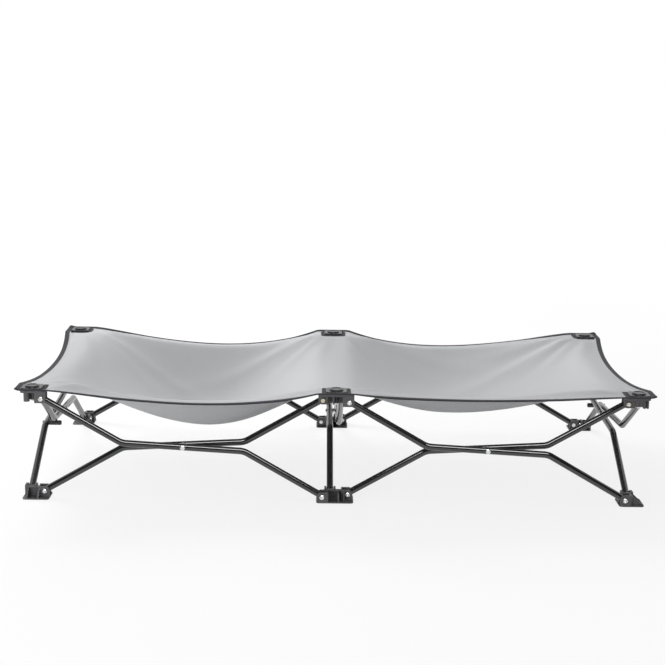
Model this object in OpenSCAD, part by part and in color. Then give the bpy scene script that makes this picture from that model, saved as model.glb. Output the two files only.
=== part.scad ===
// Raised folding cot for a dog: a grid of bent steel tube scissors between moulded hubs and feet,
// with a fabric sling clamped to the six hubs. Sizes in millimetres.
// X runs along the length, Y away from the viewer, Z up. The floor is z = 0 and the cot stands open.

/* [Tubes] */
// Outside diameter of the steel tube
tube_od = 12.7; // [11:0.1:14]
// Wall thickness of the steel tube
tube_wall = 1.2; // [0.9:0.1:1.6]
// Level distance between a tube's two end pivots
tube_span = 525; // [500:1:550]
// Height between a tube's two end pivots
tube_rise = 184; // [174:1:194]
// Level distance from an end pivot to the nearer bend
bend_run = 148; // [138:1:156]
// Height gained by the middle length of a tube
middle_rise = 13; // [12.5:0.1:14]
// Radius of a bend at the tube's centre line
bend_radius = 34; // [28:1:40]
// Length of tube past an end pivot
tube_end = 6; // [5.5:0.1:7]
// Distance between the centre lines of two crossing tubes
plane_gap = 18; // [16.6:0.1:19]

/* [Hubs and feet] */
// Distance from a corner hub's centre to its pivots
corner_arm = 18.5; // [18.2:0.1:21]
// Distance from a middle hub's centre to its long side pivots
mid_arm = 24.5; // [24:0.1:28]
// Height of the foot pivots above the floor
foot_pivot = 11.6; // [11.2:0.1:14]
// Height of a hub's top face above its pivots
hub_drop = 15; // [14.4:0.1:18]
// Thickness of a clevis cheek
cheek_t = 4; // [3.4:0.1:4.2]
// Length of a cheek past its pivot
cheek_reach = 9; // [8.5:0.1:12]
// Reach of a hub's cheeks below its pivots
cheek_lip = 8; // [7:0.1:10]
// Height of a foot's clevis above its pivot
foot_lip = 9; // [8:0.1:11]
// Height of a foot's tube socket above its pivot
socket_lip = 10; // [9.5:0.1:12]
// Radius of a cheek's free corner
cheek_r = 7; // [5:0.1:7.5]
// Gap between a tube and each cheek
side_gap = 0.4; // [0.3:0.05:0.6]
// Clear height between a turning tube end and a hub's top plate
roof_gap = 2.4; // [1:0.1:3]
// Clear height between a turning tube end and a foot's base
base_gap = 0.8; // [0.6:0.1:1.2]
// Margin of a hub's top plate on the outer side
plate_out = 20; // [19.5:0.1:20.2]
// Margin of a foot's base in front of its tube socket
base_out = 18; // [16:0.1:20]
// Margin of a foot's base past its cheeks
base_lip = 1.5; // [1:0.1:4]
// Radius of the plate corners
plate_r = 6; // [3:0.5:9]
// Diameter of a hub's corner post
post_d = 11.5; // [9:0.1:12]
// Width of the slot in a hub's corner post
post_slot = 3.2; // [2:0.1:4]
// Thickness of the moulded ribs
rib_t = 3; // [2:0.1:3.5]
// Step from a corner foot's cheek face back to its low rib
rib_in = 5.5; // [3:0.1:7]
// Height of a corner foot's low rib above its pivots
rib_low = 5.5; // [4:0.1:6]
// Height of the bar over a foot's front pocket
bar_h = 3.6; // [2.5:0.1:4]
// Step from the bar over a foot's front pocket back to the pocket's wall
bar_out = 3; // [2:0.1:4]
// Thickness of the guard rib beside a recessed bolt head
guard_t = 2.2; // [1.5:0.1:2.5]
// Reach of a guard rib in front of its cheek
guard_out = 9; // [5:0.1:12]

/* [Bolts and rivets] */
// Diameter of the pivot bolts and rivets
bolt_d = 5; // [4:0.1:6]
// Diameter of a bolt or rivet head
head_d = 9; // [8:0.1:9.6]
// Height of a bolt or rivet head
head_h = 2.6; // [2:0.1:3.2]
// Width of the slot in a bolt head
slot_w = 1.2; // [0.8:0.1:1.6]
// Width across the corners of a nut
nut_d = 8.8; // [7.8:0.1:9.2]
// Height of a nut
nut_h = 3.4; // [2.8:0.1:3.6]
// Radial running clearance of a bolt or rivet
run_gap = 0.05; // [0.03:0.01:0.1]
// Depth of the flat pressed into a tube at a rivet
flat_depth = 0.55; // [0.3:0.05:0.6]
// Diameter of the flat pressed into a tube at a rivet
flat_d = 13; // [12:0.1:14]
// Diameter of the spacer between two crossing tubes
spacer_d = 11.4; // [9:0.1:11.6]
// Diameter of a stop peg
peg_d = 9.5; // [8:0.1:10]
// Length of a stop peg past its tube
peg_len = 24; // [20:0.1:28]
// Gap between a stop peg and the tube that rests on it
peg_gap = 0.3; // [0.2:0.05:0.4]

/* [Caps] */
// Side length of a clamp cap
cap_side = 39; // [36:0.5:40]
// Thickness of a clamp cap's plate
cap_t = 3; // [2:0.1:4]
// Corner radius of a clamp cap
cap_r = 7; // [4:0.5:10]
// Diameter of a cap's round dome
dome_d = 27; // [22:0.5:32]
// Height of a cap's round dome
dome_h = 2.8; // [2:0.1:4]
// Diameter of the dish in a dome
dish_d = 20; // [16:0.5:21]
// Depth of the dish in a dome
dish_depth = 0.9; // [0.4:0.1:1.2]
// Diameter of a cap screw
screw_d = 4; // [3:0.1:4.4]
// Depth of a cap screw's thread in the cap
screw_bite = 2.2; // [1.5:0.1:2.4]
// Height of a cap screw's head
screw_head = 2.4; // [2:0.1:2.8]

/* [Sling] */
// Thickness of the sling
cloth_t = 1; // [0.8:0.1:1.4]
// Gap between a hub's top face and the sling
cloth_gap = 0.1; // [0.05:0.05:0.3]
// Reach of the sling past the centre lines of the hubs
overhang = 29.5; // [29.3:0.1:34]
// Width of the edge binding
bind_w = 9; // [7:0.1:9.1]
// Thickness of one layer of the edge binding
bind_t = 0.7; // [0.4:0.1:1]
// Thickness of a corner patch
patch_t = 0.8; // [0.5:0.1:1.2]
// Reach of a patch from the hub's centre towards the middle of the sling
patch_in = 27; // [22:0.5:29]
// Depth of the belly in the left bay
belly_left = 88; // [0:1:100]
// Depth of the belly in the right bay
belly_right = 52; // [0:1:100]
// Drop of the long edges in the left bay
edge_sag_left = 27; // [0:1:40]
// Drop of the near long edge in the right bay
edge_sag_right = 14; // [0:1:40]
// Drop of the far long edge in the right bay
edge_sag_far = 25; // [0:1:40]
// Drop of the end edges at their middle
end_sag = 14; // [0:1:30]
// Drop of the sling half way between the middle hubs
mid_sag = 40; // [0:1:50]
// Pull of the long edges towards the middle
side_bow = 26; // [0:1:30]
// Pull of the end edges towards the middle
end_bow = 18; // [0:1:30]
// Number of steps along one bay
bay_steps = 10; // [6:1:14]
// Number of steps across the sling
wide_steps = 10; // [6:2:14]

/* [Hidden] */
$fn = 48;

tube_r = tube_od / 2;
half_gap = plane_gap / 2;
half_slot = tube_r + side_gap;
grip = half_slot + cheek_t;
sweep_r = norm([tube_end, tube_r]);
roof_t = hub_drop - sweep_r - roof_gap;
base_t = foot_pivot - sweep_r - base_gap;
hub_x = mid_arm + tube_span + corner_arm;
hub_y = tube_span / 2 + corner_arm;
top_pivot = foot_pivot + tube_rise;
deck_z = top_pivot + hub_drop;
cloth_z = deck_z + cloth_gap;
part_gap = 0.5;
corner_back = grip - half_gap + nut_h + 1 + part_gap;
corner_face = corner_arm - sweep_r - part_gap;
mid_face = mid_arm - sweep_r - part_gap;
mid_back = mid_face - rib_t;
cheek_in = corner_arm + cheek_reach;
post_at = [-8.5, -12.5];
post_up = 2;
boss_up = 3;
web_up = 3.7;
boss_wall = 2.5;
wall_up = 1.5;
rib_drop = 1.5;
rib_level = 5;
lap = 1;
guard_x = mid_arm - head_d / 2 - 1.5;
bore_d = bolt_d + 2 * run_gap;
flat_r = tube_r - flat_depth;
bend_swell = 0.1;
bend_lap = 1;

bend_rise = (tube_rise - middle_rise) / 2;
middle_run = tube_span - 2 * bend_run;
outer_slope = atan(bend_rise / bend_run);
middle_slope = atan(middle_rise / middle_run);
bend_turn = outer_slope - middle_slope;
bend_tangent = bend_radius * tan(bend_turn / 2);
outer_len = norm([bend_run, bend_rise]);
middle_len = norm([middle_run, middle_rise]);
peg_back = (tube_r + peg_d / 2 + peg_gap) / (2 * sin(middle_slope));
peg_at = [tube_span / 2 - peg_back * cos(middle_slope), tube_rise / 2 - peg_back * sin(middle_slope)];
patch_out = overhang - bind_w - 0.3;
patch_r = 4;
cap_bevel = 0.8;

moulded = [0.24, 0.24, 0.25];
black_steel = [0.07, 0.07, 0.08];
zinc = [0.78, 0.78, 0.74];
cloth_grey = [0.68, 0.69, 0.69];
trim_grey = [0.2, 0.2, 0.21];

// A plate with round corners between two opposite corners, lying level.
module round_plate(x0, x1, y0, y1, z0, z1, r) {
  translate([x0 + r, y0, z0]) cube([x1 - x0 - 2 * r, y1 - y0, z1 - z0]);
  translate([x0, y0 + r, z0]) cube([x1 - x0, y1 - y0 - 2 * r, z1 - z0]);
  for (x = [x0 + r, x1 - r], y = [y0 + r, y1 - r])
    translate([x, y, z0]) cylinder(r = r, h = z1 - z0);
}

// A round bar along Y.
module bar_y(d, y0, y1) {
  translate([0, y0, 0]) rotate([-90, 0, 0]) cylinder(d = d, h = y1 - y0);
}

// One cheek of a hub clevis: it hangs from the top plate, with a round free corner.
module hub_cheek(x0, x1, y0) {
  translate([x0, y0, -cheek_lip]) cube([x1 - x0 - cheek_r, cheek_t, cheek_lip + hub_drop - roof_t / 2]);
  translate([x0, y0, cheek_r - cheek_lip])
    cube([x1 - x0, cheek_t, cheek_lip - cheek_r + hub_drop - roof_t / 2]);
  translate([x1 - cheek_r, 0, cheek_r - cheek_lip]) bar_y(2 * cheek_r, y0, y0 + cheek_t);
}

// A hub clevis that opens towards +X, with its two cheeks and the wall behind the tube end.
module hub_clevis(x0, face, arm) {
  hub_cheek(x0, arm + cheek_reach, -grip);
  hub_cheek(x0, arm + cheek_reach, half_slot);
  translate([x0, -half_slot - 1, 1 - cheek_lip])
    cube([face - x0, 2 * half_slot + 2, cheek_lip - 1 + hub_drop - roof_t / 2]);
}

// One cheek of a foot clevis: it stands on the base plate, with a round free corner.
module foot_cheek(x0, x1, y0, lip) {
  root = base_t / 2 - foot_pivot;
  translate([x0, y0, root]) cube([x1 - x0 - cheek_r, cheek_t, lip - root]);
  translate([x0, y0, root]) cube([x1 - x0, cheek_t, lip - cheek_r - root]);
  translate([x1 - cheek_r, 0, lip - cheek_r]) bar_y(2 * cheek_r, y0, y0 + cheek_t);
}

// A foot clevis that opens towards +X, with its two cheeks and the wall behind the tube end.
module foot_clevis(x0, face, arm, lip) {
  foot_cheek(x0, arm + cheek_reach, -grip, lip);
  foot_cheek(x0, arm + cheek_reach, half_slot, lip);
  translate([x0, -half_slot - 1, base_t / 2 - foot_pivot])
    cube([face - x0, 2 * half_slot + 2, lip - 1 + foot_pivot - base_t / 2]);
}

// The bore for a pivot bolt through both cheeks of a clevis.
module pivot_bore(arm) {
  translate([arm, 0, 0]) bar_y(bore_d, -grip - 1, grip + 1);
}

// The boss under a hub's top plate that takes the cap screw.
module screw_boss() {
  translate([0, 0, boss_up - cheek_lip])
    cylinder(d = screw_d + 2 * boss_wall, h = cheek_lip - boss_up + hub_drop - roof_t / 2);
}

// The bore for the cap screw through a hub.
module screw_bore() {
  translate([0, 0, boss_up - 1 - cheek_lip]) cylinder(d = screw_d + 2 * run_gap, h = cheek_lip + hub_drop);
}

// The post under the outer corner of a hub, with a slot in its outer side.
module corner_post() {
  translate([post_at[0], post_at[1], post_up - cheek_lip]) difference() {
    cylinder(d = post_d, h = cheek_lip - post_up + hub_drop - roof_t / 2);
    translate([-post_d, -post_slot / 2, -lap])
      cube([post_d, post_slot, cheek_lip - post_up + hub_drop - roof_t + lap]);
  }
}

// A web under a hub's top plate, from the screw boss outwards.
module hub_web(turn, length) {
  rotate([0, 0, turn]) translate([0, -rib_t / 2, web_up - cheek_lip])
    cube([length, rib_t, cheek_lip - web_up + hub_drop - roof_t / 2]);
}

// The guard rib in front of a recessed cheek, beside its bolt head.
module guard_rib(x0, face, z0, z1) {
  translate([x0, face - guard_out, z0]) cube([guard_t, guard_out + lap, z1 - z0]);
}

// A corner hub: top plate, one clevis along each side, an outer post and a screw boss with its webs.
module corner_hub() {
  color(moulded) difference() {
    union() {
      round_plate(-plate_out, cheek_in, -plate_out, cheek_in, hub_drop - roof_t, hub_drop, plate_r);
      translate([0, -half_gap, 0]) hub_clevis(corner_back, corner_face, corner_arm);
      translate([half_gap, 0, 0]) rotate([0, 0, 90]) hub_clevis(corner_back, corner_face, corner_arm);
      corner_post();
      hub_web(-135, norm(post_at) - post_d / 4);
      hub_web(0, corner_back + lap);
      hub_web(90, corner_back + lap);
      screw_boss();
    }
    translate([0, -half_gap, 0]) pivot_bore(corner_arm);
    translate([half_gap, 0, 0]) rotate([0, 0, 90]) pivot_bore(corner_arm);
    screw_bore();
  }
}

// A middle hub: top plate, a long side clevis at each end on its own tube plane, a cross clevis,
// a front bay closed by a wall and parted by a rib, a guard rib and a screw boss.
module middle_hub() {
  reach = mid_arm + cheek_reach;
  color(moulded) difference() {
    union() {
      round_plate(-reach, reach, -plate_out, cheek_in, hub_drop - roof_t, hub_drop, plate_r);
      translate([0, -half_gap, 0]) hub_clevis(mid_back, mid_face, mid_arm);
      translate([0, half_gap, 0]) rotate([0, 0, 180]) hub_clevis(mid_back, mid_face, mid_arm);
      translate([half_gap, 0, 0]) rotate([0, 0, 90]) hub_clevis(corner_back, corner_face, corner_arm);
      translate([-2 * rib_t - part_gap, post_up - plate_out, web_up - cheek_lip])
        cube([rib_t, plate_out - post_up + corner_back, cheek_lip - web_up + hub_drop - roof_t / 2]);
      translate([-mid_back - lap, corner_back + lap - rib_t, wall_up - cheek_lip])
        cube([2 * (mid_back + lap), rib_t, cheek_lip - wall_up + hub_drop - roof_t / 2]);
      guard_rib(-guard_x, half_gap - grip, wall_up - cheek_lip, hub_drop - roof_t / 2);
      screw_boss();
    }
    translate([0, -half_gap, 0]) pivot_bore(mid_arm);
    translate([0, half_gap, 0]) rotate([0, 0, 180]) pivot_bore(mid_arm);
    translate([half_gap, 0, 0]) rotate([0, 0, 90]) pivot_bore(corner_arm);
    screw_bore();
  }
}

// A sloping rib in front of a tube socket, from a height at the socket's wall down to the base's edge.
module socket_rib(x0, top) {
  translate([x0 + rib_t, 0, 0]) rotate([0, -90, 0]) linear_extrude(height = rib_t)
    polygon([
      [base_t / 2 - foot_pivot, lap - base_out],
      [base_t + lap / 2 - foot_pivot, lap - base_out],
      [top, corner_back - rib_level],
      [top, corner_face - lap],
      [base_t / 2 - foot_pivot, corner_face - lap]
    ]);
}

// The wall of a foot's front pocket with the bar over it, from x0 to x1.
module pocket_wall(x0, x1) {
  top = socket_lip - rib_drop;
  translate([x0, corner_back + 0.3, base_t / 2 - foot_pivot])
    cube([x1 - x0, corner_face - corner_back - 0.6, top - lap / 2 - base_t / 2 + foot_pivot]);
  translate([x0, corner_back - bar_out, top - bar_h]) cube([x1 - x0, bar_out + lap, bar_h]);
}

// A corner foot: base plate, a tall tube socket with an open pocket, a low and a high sloping rib in
// front of it, and a side clevis.
module corner_foot() {
  rib_near = rib_in - half_gap - grip;
  color(moulded) difference() {
    union() {
      round_plate(
        -plate_out - 1, cheek_in + base_lip, -base_out, cheek_in + base_lip,
        -foot_pivot, base_t - foot_pivot, plate_r
      );
      translate([0, half_gap, 0]) foot_clevis(corner_back, corner_face, corner_arm, foot_lip);
      translate([-half_gap, 0, 0]) rotate([0, 0, 90])
        foot_clevis(corner_back, corner_face, corner_arm, socket_lip);
      socket_rib(rib_near, rib_low);
      socket_rib(corner_back, socket_lip - rib_drop - lap / 4);
      pocket_wall(lap - half_gap - grip, corner_back + lap);
    }
    translate([0, half_gap, 0]) pivot_bore(corner_arm);
    translate([-half_gap, 0, 0]) rotate([0, 0, 90]) pivot_bore(corner_arm);
  }
}

// A middle foot: base plate, a long side clevis at each end on its own tube plane, a tube socket,
// an open pocket beside a rib at the front, and a guard rib.
module middle_foot() {
  reach = mid_arm + cheek_reach + base_lip;
  pocket_x = mid_back - rib_t - 1;
  color(moulded) difference() {
    union() {
      round_plate(
        -reach, reach, -plate_out, cheek_in + base_lip, -foot_pivot, base_t - foot_pivot, plate_r
      );
      translate([0, half_gap, 0]) foot_clevis(mid_back, mid_face, mid_arm, foot_lip);
      translate([0, -half_gap, 0]) rotate([0, 0, 180]) foot_clevis(mid_back, mid_face, mid_arm, foot_lip);
      translate([-half_gap, 0, 0]) rotate([0, 0, 90])
        foot_clevis(corner_back, corner_face, corner_arm, socket_lip);
      translate([pocket_x - rib_t, 2 - plate_out, base_t / 2 - foot_pivot])
        cube([rib_t, plate_out + corner_back, foot_lip - 2 * rib_drop + foot_pivot - base_t / 2]);
      pocket_wall(-mid_back - lap, mid_back + lap);
      guard_rib(guard_x - guard_t, half_gap - grip, base_t / 2 - foot_pivot, foot_lip - rib_drop);
    }
    translate([0, half_gap, 0]) pivot_bore(mid_arm);
    translate([0, -half_gap, 0]) rotate([0, 0, 180]) pivot_bore(mid_arm);
    translate([-half_gap, 0, 0]) rotate([0, 0, 90]) pivot_bore(corner_arm);
  }
}

// A pivot bolt along Y with a slotted head at -Y and a hexagon nut at +Y.
module pivot_bolt(arm) {
  translate([arm, 0, 0]) difference() {
    union() {
      bar_y(bolt_d, -grip - 0.5, grip + nut_h + 0.8);
      bar_y(head_d, -grip - head_h * 0.6, -grip);
      translate([0, -grip - head_h * 0.6, 0]) rotate([90, 0, 0])
        cylinder(d1 = head_d, d2 = head_d * 0.72, h = head_h * 0.4);
      translate([0, grip, 0]) rotate([-90, 0, 0]) cylinder(d = nut_d, h = nut_h, $fn = 6);
    }
    translate([-head_d, -grip - head_h - 1, -slot_w / 2]) cube([2 * head_d, 1.9, slot_w]);
  }
}

// The screw that holds a cap to its hub: it comes from below the screw boss, with a cross recess.
module cap_screw() {
  seat = boss_up - cheek_lip;
  tip = hub_drop + cloth_gap + cloth_t + patch_t + screw_bite;
  difference() {
    union() {
      translate([0, 0, seat - lap]) cylinder(d = screw_d, h = tip - seat + lap);
      translate([0, 0, seat - screw_head]) cylinder(d = 1.8 * screw_d, h = screw_head);
    }
    translate([-screw_d * 0.6, -slot_w / 2, seat - screw_head - lap]) cube([screw_d * 1.2, slot_w, 2 * lap]);
    translate([-slot_w / 2, -screw_d * 0.6, seat - screw_head - lap]) cube([slot_w, screw_d * 1.2, 2 * lap]);
  }
}

// The bolts of a corner hub with its cap screw.
module corner_hub_bolts() {
  color(zinc) {
    translate([0, -half_gap, 0]) pivot_bolt(corner_arm);
    translate([half_gap, 0, 0]) rotate([0, 0, 90]) mirror([0, 1, 0]) pivot_bolt(corner_arm);
    cap_screw();
  }
}

// The bolts of a middle hub with its cap screw.
module middle_hub_bolts() {
  color(zinc) {
    translate([0, -half_gap, 0]) pivot_bolt(mid_arm);
    translate([0, half_gap, 0]) pivot_bolt(-mid_arm);
    translate([half_gap, 0, 0]) rotate([0, 0, 90]) pivot_bolt(corner_arm);
    cap_screw();
  }
}

// The bolts of a corner foot.
module corner_foot_bolts() {
  color(zinc) {
    translate([0, half_gap, 0]) pivot_bolt(corner_arm);
    translate([-half_gap, 0, 0]) rotate([0, 0, 90]) mirror([0, 1, 0]) pivot_bolt(corner_arm);
  }
}

// The bolts of a middle foot.
module middle_foot_bolts() {
  color(zinc) {
    translate([0, half_gap, 0]) pivot_bolt(mid_arm);
    translate([0, -half_gap, 0]) pivot_bolt(-mid_arm);
    translate([-half_gap, 0, 0]) rotate([0, 0, 90]) mirror([0, 1, 0]) pivot_bolt(corner_arm);
  }
}

// A straight length of bar in the XZ plane from a point, at a slope.
module bar_xz(from, slope, length, d) {
  translate([from[0], 0, from[1]]) rotate([0, 90 - slope, 0]) cylinder(d = d, h = length);
}

// A bend in the XZ plane about a centre, starting at an angle.
module bend_xz(centre, start, d) {
  translate([centre[0], 0, centre[1]]) rotate([90, 0, 0]) rotate([0, 0, start])
    rotate_extrude(angle = bend_turn) translate([bend_radius, 0]) circle(d = d);
}

// The bent bar of a tube from its lower pivot at the origin, with both ends run out by a length.
module bent_bar(d, extra) {
  up = [cos(outer_slope), sin(outer_slope)];
  along = [cos(middle_slope), sin(middle_slope)];
  low_bend = [bend_run, bend_rise];
  high_bend = [tube_span - bend_run, tube_rise - bend_rise];
  straight = outer_len - bend_tangent + tube_end + extra + bend_lap;
  middle = middle_len - 2 * bend_tangent + 2 * bend_lap;
  low_start = low_bend - bend_tangent * up;
  high_start = high_bend - bend_tangent * along;
  bar_xz(-(tube_end + extra) * up, outer_slope, straight, d);
  bend_xz(low_start + bend_radius * [up[1], -up[0]], 90 + middle_slope, d + bend_swell);
  bar_xz(low_bend + (bend_tangent - bend_lap) * along, middle_slope, middle, d);
  bend_xz(high_start + bend_radius * [-along[1], along[0]], middle_slope - 90, d + bend_swell);
  bar_xz(high_bend + (bend_tangent - bend_lap) * up, outer_slope, straight, d);
}

// A round flat pressed into one face of a tube, at y = side * flat_r.
module press_flat(side, d) {
  bar_y(d, side > 0 ? flat_r : -flat_r - 3, side > 0 ? flat_r + 3 : -flat_r);
}

// A hollow bent tube that rises towards +X, with its end bores, centre bore and centre flats.
// With a peg it also has the bore and flats that seat a stop peg just above the lower bend.
module bent_tube(with_peg = false) {
  color(black_steel) difference() {
    bent_bar(tube_od, 0);
    bent_bar(tube_od - 2 * tube_wall, 1);
    for (at = [[0, 0], [tube_span, tube_rise]])
      translate([at[0], 0, at[1]]) bar_y(bore_d, -tube_od, tube_od);
    translate([tube_span / 2, 0, tube_rise / 2]) {
      bar_y(bore_d, -tube_od, tube_od);
      press_flat(-1, flat_d);
      press_flat(1, flat_d);
    }
    if (with_peg)
      translate([peg_at[0], 0, peg_at[1]]) {
        bar_y(bore_d, -tube_od, tube_od);
        press_flat(-1, peg_d + 1);
        press_flat(1, peg_d + 1);
      }
  }
}

// A centre rivet along Y through two tubes at y = -half_gap and y = half_gap, with its spacer.
module centre_rivet() {
  out = half_gap + flat_r;
  color(zinc) {
    bar_y(bolt_d, -out - 0.5, out + 0.5);
    bar_y(head_d, -out - head_h * 0.6, -out);
    translate([0, -out - head_h * 0.6, 0]) rotate([90, 0, 0])
      cylinder(d1 = head_d, d2 = head_d * 0.6, h = head_h * 0.4);
    bar_y(spacer_d, flat_r - half_gap, half_gap - flat_r);
    bar_y(head_d, out, out + head_h * 0.6);
  }
}

// A stop peg along +Y from a tube at y = 0: round rod, shank through the tube and peened head.
module stop_peg() {
  color(trim_grey) {
    bar_y(bolt_d, -flat_r - 0.5, flat_r + 1);
    bar_y(peg_d, flat_r, flat_r + peg_len - 1.5);
    translate([0, flat_r + peg_len - 1.5, 0]) rotate([-90, 0, 0])
      cylinder(d1 = peg_d, d2 = peg_d - 2.4, h = 1.5);
    bar_y(peg_d - 1.5, -flat_r - 1.6, -flat_r);
  }
}

// Places a tube that rises towards +X, -X, +Y or -Y from its lower pivot.
module rise(x, y, turn) {
  translate([x, y, foot_pivot]) rotate([0, 0, turn]) children();
}

// Places the middle of a crossing pair along X (turn 0) or Y (turn 90).
module crossing(x, y, turn) {
  translate([x, y, foot_pivot + tube_rise / 2]) rotate([0, 0, turn]) children();
}

// The point on a left end tube where its stop peg sits.
module at_peg() {
  translate([-hub_x - half_gap, corner_arm - hub_y + peg_at[0], foot_pivot + peg_at[1]])
    rotate([0, 0, -90]) children();
}

// A clamp cap: square plate with round corners, and a low round dome with a dish in its top.
module clamp_cap() {
  half = cap_side / 2;
  step = half - cap_bevel;
  rim_z = cap_t + dome_h;
  color(black_steel) difference() {
    union() {
      round_plate(-half, half, -half, half, 0, cap_t * 0.7, cap_r);
      round_plate(-step, step, -step, step, cap_t * 0.6, cap_t, cap_r - cap_bevel);
      rotate_extrude() polygon([
        [0, cap_t / 2],
        [dome_d / 2, cap_t / 2],
        [dome_d / 2, rim_z - dome_h / 2],
        [dome_d / 2 - dome_h / 2, rim_z],
        [dish_d / 2, rim_z],
        [dish_d / 2 - dish_depth, rim_z - dish_depth],
        [0, rim_z - dish_depth]
      ]);
    }
    translate([0, 0, -lap]) cylinder(d = screw_d + 0.4, h = screw_bite + 0.4 + lap);
  }
}

// Places what sits on top of a hub, on the sling and its patch.
module on_deck(x, y) {
  translate([x, y, cloth_z + cloth_t + patch_t]) children();
}

// A patch on the sling over one far hub, from the binding inwards.
module patch(x0, x1) {
  difference() {
    round_plate(x0, x1, -patch_in, patch_out, -patch_t, 0, patch_r);
    translate([0, 0, -patch_t - 1]) cylinder(d = screw_d + 1, h = patch_t + 2);
  }
}

// The six patches, each clamped under its cap.
module corner_patches() {
  color(trim_grey) for (turn = [0, 180]) rotate([0, 0, turn]) {
    on_deck(-hub_x, hub_y) patch(-patch_out, patch_in);
    on_deck(0, hub_y) patch(-patch_in, patch_in);
    on_deck(hub_x, hub_y) patch(-patch_in, patch_out);
  }
}

// The sling hangs between flat areas over the hubs. Stations run along X and across Y.
panel_x = hub_x + overhang - bind_w;
panel_y = hub_y + overhang - bind_w;
flat_x = hub_x - cheek_in - 1;
flat_y = hub_y - cheek_in - 1;
flat_mid = mid_arm + cheek_reach + 1;
bay_run = flat_x - flat_mid;
stations_x = concat(
  [-panel_x],
  [for (k = [0:bay_steps]) -flat_x + bay_run * k / bay_steps],
  [for (k = [0:bay_steps]) flat_mid + bay_run * k / bay_steps],
  [panel_x]
);
stations_y = concat(
  [-panel_y],
  [for (k = [0:wide_steps]) -flat_y + 2 * flat_y * k / wide_steps],
  [panel_y]
);
nx = len(stations_x);
ny = len(stations_y);
function bay(x) = min(1, max(0, (flat_x - abs(x)) / bay_run));
function hump(t) = 4 * pow(t, 1.3) * (1 - pow(t, 1.3));
function across(y) = abs(y) >= flat_y ? 0 : 1 - pow(y / flat_y, 2);
function edge_drop(x, y) = (x < 0 ? edge_sag_left : y > 0 ? edge_sag_far : edge_sag_right) * hump(bay(x));
function line_drop(x) = end_sag + (mid_sag - end_sag) * bay(x)
  + (x < 0 ? belly_left : belly_right) * hump(bay(x));
function drop(x, y) = edge_drop(x, y) + (line_drop(x) - edge_drop(x, y)) * across(y);
function sign_end(k, n) = k == 0 ? 1 : k == n - 1 ? -1 : 0;
function panel_point(i, j, lift) =
  let (x = stations_x[i], y = stations_y[j])
  [
    x + sign_end(i, nx) * end_bow * across(y),
    y + sign_end(j, ny) * side_bow * hump(bay(x)),
    cloth_z + lift - drop(x, y)
  ];
rim = concat(
  [for (i = [0:nx - 2]) [i, 0]],
  [for (j = [0:ny - 2]) [nx - 1, j]],
  [for (i = [nx - 1:-1:1]) [i, ny - 1]],
  [for (j = [ny - 1:-1:1]) [0, j]]
);

// The sling without its binding: one cloth with a belly in each bay and a hole over each hub.
module sling() {
  points = concat(
    [for (j = [0:ny - 1], i = [0:nx - 1]) panel_point(i, j, 0)],
    [for (j = [0:ny - 1], i = [0:nx - 1]) panel_point(i, j, cloth_t)]
  );
  up = nx * ny;
  low = [for (j = [0:ny - 2], i = [0:nx - 2]) let (a = j * nx + i)
    each [[a, a + 1, a + nx], [a + 1, a + nx + 1, a + nx]]];
  high = [for (j = [0:ny - 2], i = [0:nx - 2]) let (a = up + j * nx + i)
    each [[a, a + nx, a + 1], [a + 1, a + nx, a + nx + 1]]];
  wall = [for (k = [0:len(rim) - 1])
    let (p = rim[k], q = rim[(k + 1) % len(rim)], a = p[1] * nx + p[0], b = q[1] * nx + q[0])
    each [[a, up + a, b], [b, up + a, up + b]]];
  color(cloth_grey) difference() {
    polyhedron(points = points, faces = concat(low, high, wall));
    for (x = [-hub_x, 0, hub_x], y = [-hub_y, hub_y])
      translate([x, y, cloth_z - 2]) cylinder(d = screw_d + 1, h = cloth_t + 4);
  }
}

// The binding tape all round the sling's edge, butted to the sling and lapped a layer above and below.
module edge_binding() {
  n = len(rim);
  inner = [for (r = rim) panel_point(r[0], r[1], 0)];
  outer = [for (r = rim) panel_point(r[0], r[1], 0)
    - bind_w * [sign_end(r[0], nx), sign_end(r[1], ny), 0]];
  low = [0, 0, -bind_t];
  high = [0, 0, cloth_t + bind_t];
  points = concat(
    [for (p = inner) p + low], [for (p = outer) p + low],
    [for (p = outer) p + high], [for (p = inner) p + high]
  );
  faces = [for (ring = [0:3], k = [0:n - 1])
    let (
      a = ring * n + k, b = ring * n + (k + 1) % n,
      c = ((ring + 1) % 4) * n + k, d = ((ring + 1) % 4) * n + (k + 1) % n
    )
    each [[a, c, b], [b, c, d]]];
  color(trim_grey) polyhedron(points = points, faces = faces);
}

// The six places of the hubs and feet, each turned so that its open sides face along the cot's edges.
module at_near_left(z) {
  translate([-hub_x, -hub_y, z]) children();
}

module at_near_mid(z) {
  translate([0, -hub_y, z]) children();
}

module at_near_right(z) {
  translate([hub_x, -hub_y, z]) rotate([0, 0, 90]) children();
}

module at_far_left(z) {
  translate([-hub_x, hub_y, z]) rotate([0, 0, 270]) children();
}

module at_far_mid(z) {
  translate([0, hub_y, z]) rotate([0, 0, 180]) children();
}

module at_far_right(z) {
  translate([hub_x, hub_y, z]) rotate([0, 0, 180]) children();
}

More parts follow.
